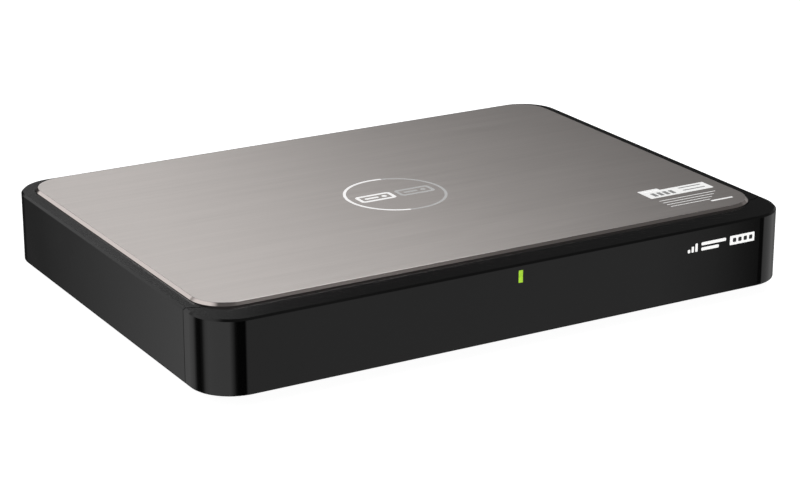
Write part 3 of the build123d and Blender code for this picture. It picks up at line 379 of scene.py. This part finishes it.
def circuit_board():
    """Green solder mask with faint copper tracks under it and small round pads."""
    finish = Finish("circuit_board", specular_ior_level=0.45)
    tracks = finish.add("ShaderNodeTexBrick")
    tracks.inputs["Scale"].default_value = 60.0
    tracks.inputs["Mortar Size"].default_value = 0.035
    tracks.inputs["Color1"].default_value = (0.012, 0.085, 0.038, 1.0)
    tracks.inputs["Color2"].default_value = (0.016, 0.105, 0.046, 1.0)
    tracks.inputs["Mortar"].default_value = (0.03, 0.17, 0.07, 1.0)
    finish.links.new(finish.place, tracks.inputs["Vector"])
    dots = finish.add("ShaderNodeTexVoronoi")
    dots.inputs["Scale"].default_value = 260.0
    finish.links.new(finish.place, dots.inputs["Vector"])
    pads = finish.spread(dots.outputs["Distance"], 1.0, 0.0, start=0.10, end=0.14)
    finish.set("Base Color", finish.between(pads, tracks.outputs["Color"], (0.42, 0.40, 0.33)))
    finish.set("Roughness", finish.spread(finish.noise(0.004), 0.28, 0.42))
    finish.bump(tracks.outputs["Fac"], 0.00003)
    return finish.material


def port_shell():
    """Tinned port shells, with the insulating tongues in the colours of their standard."""
    finish = Finish("port_shell")
    low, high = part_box("usb_ports")
    lines = finish.noise((0.0006, 0.01, 0.0006), detail=3.0)
    colour = finish.between(finish.spread(lines, 0.0, 1.0), (0.50, 0.50, 0.49), (0.66, 0.66, 0.65))
    tongues = 0.0
    for centre, tint in ((high.x - TONGUE_INSET, BLUE_TONGUE), (low.x + TONGUE_INSET, PALE_TONGUE)):
        for base in PORT_FLOORS:
            level = low.z + base
            bottom = (centre - TONGUE_REACH, high.y - TONGUE_ENDS[0], level + TONGUE_FACES[0])
            top = (centre + TONGUE_REACH, high.y - TONGUE_ENDS[1], level + TONGUE_FACES[1])
            tongue = finish.inside(bottom, top)
            colour = finish.between(tongue, colour, tint)
            tongues = finish.math("ADD", tongues, tongue)
    finish.set("Base Color", colour)
    finish.set("Metallic", finish.math("SUBTRACT", 1.0, tongues))
    finish.set("Roughness", finish.spread(lines, 0.25, 0.38))
    finish.bump(lines, 0.000006)
    return finish.material


def printed_ink(name, dark, light, painted_glow=None):
    """Screen-printed ink: nearly even, with a fine tooth. A painted glow, when given, is a little light
    of its own.
    """
    finish = Finish(name, specular_ior_level=0.35)
    if painted_glow:
        finish.set("Emission Color", painted_glow)
        finish.set("Emission Strength", 1.0)
    tooth = finish.noise(0.0003, detail=3.0)
    finish.set("Base Color", finish.between(finish.spread(tooth, 0.0, 1.0), dark, light))
    finish.set("Roughness", finish.spread(tooth, 0.42, 0.58))
    finish.bump(tooth, 0.000008)
    return finish.material


def foil():
    """Silver foil with a painted highlight on one side of a slanted line, and dull on the other."""
    finish = Finish("silver_foil_painted_glint", specular_ior_level=0.35)
    x, y = finish.split(finish.place)[:2]
    across = finish.math("SUBTRACT", x, finish.math("MULTIPLY", y, FOIL_GLINT_LEAN))
    painted_glint = finish.spread(across, 1.0, 0.0, start=FOIL_GLINT_EDGE, end=FOIL_GLINT_EDGE + FOIL_GLINT_BLUR)
    tooth = finish.noise(0.0003, detail=3.0)
    grey = finish.between(finish.spread(tooth, 0.0, 1.0), (0.68, 0.68, 0.68), (0.76, 0.76, 0.75))
    # The painted highlight: a paler colour and a glow of its own on one side of the line.
    finish.set("Base Color", finish.between(painted_glint, grey, (0.84, 0.83, 0.82)))
    finish.set("Emission Color", finish.between(painted_glint, (0.0, 0.0, 0.0), (0.42, 0.42, 0.42)))
    finish.set("Emission Strength", 1.0)
    finish.set("Roughness", finish.spread(tooth, 0.36, 0.5))
    finish.bump(tooth, 0.000008)
    return finish.material


FINISHES = {
    "plate_aluminium": brushed_plate(),
    "gloss_black": black_shell(
        "gloss_black", (0.0015, 0.0015, 0.0015), (0.0022, 0.0022, 0.0022),
        rough=(0.03, 0.05), grain=0.02, depth=0.000004, level=0.45,
    ),
    "satin_black": black_shell(
        "satin_black", (0.0015, 0.0015, 0.0015), (0.0025, 0.0025, 0.0025),
        rough=(0.06, 0.09), grain=0.0004, depth=0.000001, level=0.36,
    ),
    "lime_lens": lit_lens(),
    "clear_acrylic": moulded(
        "clear_acrylic", (0.75, 0.8, 0.82), (0.85, 0.9, 0.92),
        rough=(0.05, 0.1), grain=0.003, depth=0.00001, level=0.5,
    ),
    "black_steel": moulded(
        "black_steel", (0.016, 0.016, 0.017), (0.03, 0.03, 0.032),
        rough=(0.4, 0.55), grain=0.0004, depth=0.00002, level=0.5,
    ),
    "bare_steel": metal(
        "bare_steel", (0.52, 0.52, 0.53), (0.58, 0.58, 0.59),
        rough=(0.3, 0.36), grain=(0.01, 0.0004, 0.0004), depth=0.000001,
    ),
    "screw_steel": metal(
        "screw_steel", (0.28, 0.28, 0.29), (0.42, 0.42, 0.43),
        rough=(0.22, 0.38), grain=0.0004, depth=0.00001,
    ),
    "foot_rubber": moulded(
        "foot_rubber", (0.018, 0.018, 0.018), (0.034, 0.034, 0.034),
        rough=(0.7, 0.85), grain=0.0005, depth=0.00004, level=0.3,
    ),
    "frame_plastic": moulded(
        "frame_plastic", (0.03, 0.03, 0.031), (0.05, 0.05, 0.052),
        rough=(0.45, 0.6), grain=0.0003, depth=0.00002, level=0.4,
    ),
    "handle_plastic": moulded(
        "handle_plastic", (0.05, 0.05, 0.053), (0.08, 0.08, 0.083),
        rough=(0.4, 0.55), grain=0.0003, depth=0.00002, level=0.4,
    ),
    "board_green": circuit_board(),
    "connector_black": moulded(
        "connector_black", (0.018, 0.018, 0.018), (0.032, 0.032, 0.032),
        rough=(0.35, 0.5), grain=0.0006, depth=0.00001, level=0.5,
    ),
    "connector_white": moulded(
        "connector_white", (0.66, 0.65, 0.61), (0.76, 0.75, 0.71),
        rough=(0.35, 0.5), grain=0.0006, depth=0.00001, level=0.5,
    ),
    "ribbon_white": moulded(
        "ribbon_white", (0.6, 0.6, 0.57), (0.74, 0.74, 0.7),
        rough=(0.35, 0.45), grain=(0.0006, 0.1, 0.1), depth=0.00008, level=0.5,
    ),
    "chip_black": moulded(
        "chip_black", (0.012, 0.012, 0.013), (0.022, 0.022, 0.023),
        rough=(0.5, 0.65), grain=0.0002, depth=0.00001, level=0.4,
    ),
    "pad_grey": moulded(
        "pad_grey", (0.28, 0.3, 0.34), (0.38, 0.4, 0.44),
        rough=(0.7, 0.85), grain=0.0005, depth=0.00004, level=0.3,
    ),
    "sink_aluminium": metal(
        "sink_aluminium", (0.55, 0.55, 0.56), (0.68, 0.68, 0.69),
        rough=(0.3, 0.42), grain=(0.0006, 0.02, 0.0006), depth=0.000006,
    ),
    "cell_steel": metal(
        "cell_steel", (0.55, 0.55, 0.54), (0.7, 0.7, 0.69),
        rough=(0.16, 0.26), grain=0.002, depth=0.000004,
    ),
    "coil_grey": moulded(
        "coil_grey", (0.08, 0.08, 0.085), (0.14, 0.14, 0.15),
        rough=(0.5, 0.65), grain=0.0003, depth=0.00003, level=0.4,
    ),
    "can_aluminium": metal(
        "can_aluminium", (0.55, 0.55, 0.55), (0.7, 0.7, 0.7),
        rough=(0.2, 0.3), grain=0.001, depth=0.000004,
    ),
    "port_steel": port_shell(),
    "drive_casting": metal(
        "drive_casting", (0.2, 0.2, 0.21), (0.32, 0.32, 0.33),
        rough=(0.42, 0.58), grain=0.0008, depth=0.00003,
    ),
    "drive_lid_steel": metal(
        "drive_lid_steel", (0.52, 0.52, 0.53), (0.57, 0.57, 0.58),
        rough=(0.28, 0.33), grain=(0.0004, 0.012, 0.01), depth=0.000001,
    ),
}
WHITE_INK = printed_ink("white_ink", (0.78, 0.78, 0.77), (0.86, 0.86, 0.85))
# White ink with a painted glow on top of its own colour: it gives off a little light of its own.
INK_WITH_PAINTED_GLOW = printed_ink("ink_with_painted_glow", (0.80, 0.80, 0.79), (0.88, 0.88, 0.87), (0.3, 0.3, 0.3))
DARK_INK = printed_ink("dark_ink", (0.02, 0.02, 0.02), (0.035, 0.035, 0.035))
GREY_INK = printed_ink("grey_ink", (0.3, 0.3, 0.3), (0.4, 0.4, 0.4))


def dress_nodes():
    """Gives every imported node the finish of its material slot."""
    for entry in frame["record"]["subparts"]:
        piece = frame["nodes"][entry["node"]]
        finish = FINISHES[entry["material_slot"]]
        if not piece.material_slots:
            piece.data.materials.append(finish)
        for place in piece.material_slots:
            place.material = finish


# ------------------------------------------------------------------ printed marks

INK = 0.05 * MM
CORNER_STEPS = 6

# Measures of the marks, in millimetres. The emblem: its height on the plate, its ring, and the left
# ends, length, half width and line of the two small drives in it.
EMBLEM_Y = -0.3
EMBLEM_RING = (24.8, 23.4)
EMBLEM_DRIVES = (-20.0, 1.2)
DRIVE_LENGTH = 18.8
DRIVE_HALF = 4.6
DRIVE_LINE = 1.7
# The plate's label: its block, its fine lines, and the bars on the block.
BLOCK_LEFT, BLOCK_RIGHT = 100.5, 137.0
BLOCK_LOW, BLOCK_HIGH = -67.5, -58.0
LINE_HIGH, LINE_STEP, LINE_THICK = -72.6, 3.0, 0.5
BLOCK_BARS = [104.0 + 3.4 * bar for bar in range(4)]
# The front's mark: its lower edge, its three steps, and the dark bars on its badge.
MARK_LOW = 28.7
MARK_STEPS = (1.6, 2.8, 4.0)
BADGE_BARS = [116.2 + 3.1 * bar for bar in range(4)]
# A drive's label, from the middle of the lid's front edge: the sheet, the rows of text bars, and the
# widths of the bars in the strip. Then the lid's screws.
SHEET = (-34.0, 34.0, 14.0, 84.0)
TEXT_ROWS, TEXT_LOW, TEXT_STEP = 7, 46.0, 4.2
TEXT_LEFT, TEXT_RIGHT, TEXT_THICK = -30.0, 30.0, 1.4
STRIP_WIDTHS = (1.6, 0.8, 2.2, 0.8, 1.2, 2.4, 0.8, 1.6, 1.0, 2.0, 0.8, 1.4)
STRIP_STEP = 3.4
LID_SCREWS = ((-43.0, 6.0), (43.0, 6.0), (-43.0, 66.0), (43.0, 66.0), (0.0, 100.0))
SCREW_HEAD, SCREW_SOCKET = 2.6, 1.1


def rounded(left, right, low, high, radius):
    """The outline of a rectangle with round corners, in millimetres."""
    corners = [
        (right - radius, high - radius, 0), (left + radius, high - radius, 90),
        (left + radius, low + radius, 180), (right - radius, low + radius, 270),
    ]
    points = []
    for x, y, start in corners:
        for step in range(CORNER_STEPS + 1):
            angle = radians(start + 90 * step / CORNER_STEPS)
            points.append((x + radius * cos(angle), y + radius * sin(angle)))
    return points


def circle(x, y, radius, steps=96):
    """The outline of a circle, in millimetres."""
    turn = 2 * pi / steps
    return [(x + radius * cos(turn * step), y + radius * sin(turn * step)) for step in range(steps)]


def on_plate(u, v, lift):
    """A point on the plate's top face: millimetres along X and Y, and metres off the face."""
    return Vector((u * MM, v * MM, PLATE_HIGH.z + lift))


def on_front(u, v, lift):
    """A point on the cover's front face: millimetres along X and Z, and metres off the face."""
    return Vector((u * MM, COVER_LOW.y - lift, v * MM))


class Print:
    """Flat printed shapes of one ink on one face of the box."""

    def __init__(self, face):
        self.face = face
        self.mesh = bmesh.new()

    def ring_of_points(self, outline, lift):
        return [self.mesh.verts.new(self.face(u, v, lift)) for u, v in outline]

    def wall(self, first, second):
        for index in range(len(first)):
            after = (index + 1) % len(first)
            self.mesh.faces.new((first[index], first[after], second[after], second[index]))

    def patch(self, outline):
        """A filled shape."""
        top = self.ring_of_points(outline, INK)
        base = self.ring_of_points(outline, -INK)
        self.mesh.faces.new(top)
        self.mesh.faces.new(list(reversed(base)))
        self.wall(top, base)

    def band(self, outer, inner):
        """The strip between two outlines with the same number of points."""
        rings = [
            self.ring_of_points(outer, INK), self.ring_of_points(inner, INK),
            self.ring_of_points(inner, -INK), self.ring_of_points(outer, -INK),
        ]
        for index in range(4):
            self.wall(rings[index], rings[(index + 1) % 4])

    def finish(self, name, ink, body, slot):
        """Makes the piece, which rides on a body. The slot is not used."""
        bmesh.ops.recalc_face_normals(self.mesh, faces=self.mesh.faces)
        data = bpy.data.meshes.new(name)
        self.mesh.to_mesh(data)
        self.mesh.free()
        data.materials.append(ink)
        piece = bpy.data.objects.new(name, data)
        bpy.context.scene.collection.objects.link(piece)
        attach(piece, body)


def make_ring_emblem():
    """A ring on the plate around two small outlined drives."""
    marks = Print(on_plate)
    marks.band(*(circle(0, EMBLEM_Y, radius) for radius in EMBLEM_RING))
    inside = DRIVE_HALF - DRIVE_LINE
    for left in EMBLEM_DRIVES:
        right = left + DRIVE_LENGTH
        outer = rounded(left, right, EMBLEM_Y - DRIVE_HALF, EMBLEM_Y + DRIVE_HALF, 2.0)
        inner = rounded(left + DRIVE_LINE, right - DRIVE_LINE, EMBLEM_Y - inside, EMBLEM_Y + inside, 0.7)
        marks.band(outer, inner)
        marks.patch(circle(left + 14.0, EMBLEM_Y, 1.3, 24))
        marks.patch(rounded(left + 3.6, left + 10.8, EMBLEM_Y - 0.9, EMBLEM_Y + 0.9, 0.6))
    marks.finish("ring_emblem", foil(), "chassis", "connector_white")


def make_plate_label():
    """A white block and fine lines on the plate, where a rating label sits."""
    white = Print(on_plate)
    white.patch(rounded(BLOCK_LEFT, BLOCK_RIGHT, BLOCK_LOW, BLOCK_HIGH, 0.6))
    white.patch(rounded(BLOCK_LEFT, BLOCK_LEFT + 11.5, BLOCK_HIGH - 0.2, BLOCK_HIGH + 2.4, 0.5))
    for row in range(4):
        low = LINE_HIGH - LINE_STEP * row
        white.patch(rounded(101.5, 134.0 - 3.2 * row, low, low + LINE_THICK, 0.2))
    white.patch(rounded(123.0, 135.5, -84.6, -83.2, 0.4))
    white.finish("plate_label", INK_WITH_PAINTED_GLOW, "chassis", "connector_white")


def make_label_bars():
    """Grey bars on the plate label."""
    grey = Print(lambda u, v, lift: on_plate(u, v, lift + INK))
    for left in BLOCK_BARS:
        grey.patch(rounded(left, left + 2.2, -65.8, -61.0, 0.4))
    for low in (-61.0, -64.8):
        grey.patch(rounded(121.0, 134.0, low, low + 1.0, 0.3))
    grey.finish("label_bars", GREY_INK, "chassis", "chip_black")


def make_front_mark():
    """Small light shapes at the right end of the front cover."""
    white = Print(on_front)
    for index, height in enumerate(MARK_STEPS):
        left = 90.6 + index * 2.1
        white.patch(rounded(left, left + 1.3, MARK_LOW, MARK_LOW + height, 0.35))
    white.patch(rounded(98.2, 112.2, MARK_LOW + 2.5, MARK_LOW + 4.0, 0.5))
    white.patch(rounded(98.2, 108.2, MARK_LOW, MARK_LOW + 1.5, 0.5))
    white.patch(rounded(114.5, 128.6, MARK_LOW - 0.2, MARK_LOW + 4.2, 0.3))
    white.finish("front_mark", INK_WITH_PAINTED_GLOW, "cover", "connector_white")


def make_front_mark_bars():
    """Dark shapes on the light badge of the front cover."""
    dark = Print(lambda u, v, lift: on_front(u, v, lift + INK))
    for left in BADGE_BARS:
        dark.patch(rounded(left, left + 1.9, MARK_LOW + 1.0, MARK_LOW + 3.0, 0.4))
    dark.finish("front_mark_bars", DARK_INK, "cover", "chip_black")


def make_drive_label(bay):
    """A blank rating label on a drive's lid, with bars and a ruled strip, and the lid's screws."""
    low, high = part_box(f"drive_{bay}_lid")
    middle = (low.x + high.x) / 2
    body = f"drive_tray_{bay}"

    def on_lid(u, v, lift):
        return Vector((middle + u * MM, low.y + v * MM, high.z + lift))

    white = Print(on_lid)
    white.patch(rounded(*SHEET, 2.0))
    white.finish(f"drive_{bay}_label", WHITE_INK, body, "connector_white")
    bars = Print(lambda u, v, lift: on_lid(u, v, lift + INK))
    for row in range(TEXT_ROWS):
        right = TEXT_RIGHT - 5.5 * (row % 3)
        base = TEXT_LOW + TEXT_STEP * row
        bars.patch(rounded(TEXT_LEFT, right, base, base + TEXT_THICK, 0.4))
    for column, width in enumerate(STRIP_WIDTHS):
        left = TEXT_LEFT + STRIP_STEP * column
        bars.patch(rounded(left, left + width, 19.0, 31.0, 0.2))
    bars.band(rounded(-31.5, 31.5, 34.5, 42.5, 1.0), rounded(-30.9, 30.9, 35.1, 41.9, 0.6))
    bars.band(rounded(16.0, 30.0, 17.5, 31.5, 1.0), rounded(16.7, 29.3, 18.2, 30.8, 0.6))
    bars.finish(f"drive_{bay}_label_bars", DARK_INK, body, "chip_black")
    screws = Print(on_lid)
    for u, v in LID_SCREWS:
        screws.band(circle(u, v, SCREW_HEAD, 32), circle(u, v, SCREW_SOCKET, 32))
    screws.finish(f"drive_{bay}_lid_screws", FINISHES["screw_steel"], body, "screw_steel")


# ------------------------------------------------------------------ the scene

def make_floor():
    reach = FLOOR_SIZE / 2
    data = bpy.data.meshes.new("floor")
    corners = [(-reach, -reach, 0), (reach, -reach, 0), (reach, reach, 0), (-reach, reach, 0)]
    data.from_pydata(corners, [], [(0, 1, 2, 3)])
    finish = Finish("pale_floor", specular_ior_level=0.0, roughness=1.0)
    cloud = finish.noise(0.5)
    paler = tuple(channel + FLOOR_CLOUD for channel in FLOOR_COLOUR)
    finish.set("Base Color", finish.between(cloud, FLOOR_COLOUR, paler))
    # The glow is cut out under the box, which paints a dark shadow there.
    under = finish.inside(CASE_LOW + UNDER_SHADOW_INSET - BEYOND, CASE_HIGH - UNDER_SHADOW_INSET)
    finish.set("Emission Color", finish.between(under, FLOOR_COLOUR, UNDER_SHADOW_COLOUR))
    finish.set("Emission Strength", FLOOR_GLOW)
    data.materials.append(finish.material)
    floor = bpy.data.objects.new("floor", data)
    floor.visible_glossy = False
    bpy.context.scene.collection.objects.link(floor)


make_camera()
make_world()
for soft_box in SOFT_BOXES:
    make_soft_box(*soft_box)
make_floor()
dress_nodes()
make_ring_emblem()
make_plate_label()
make_label_bars()
make_front_mark()
make_front_mark_bars()
for bay in (1, 2):
    make_drive_label(bay)
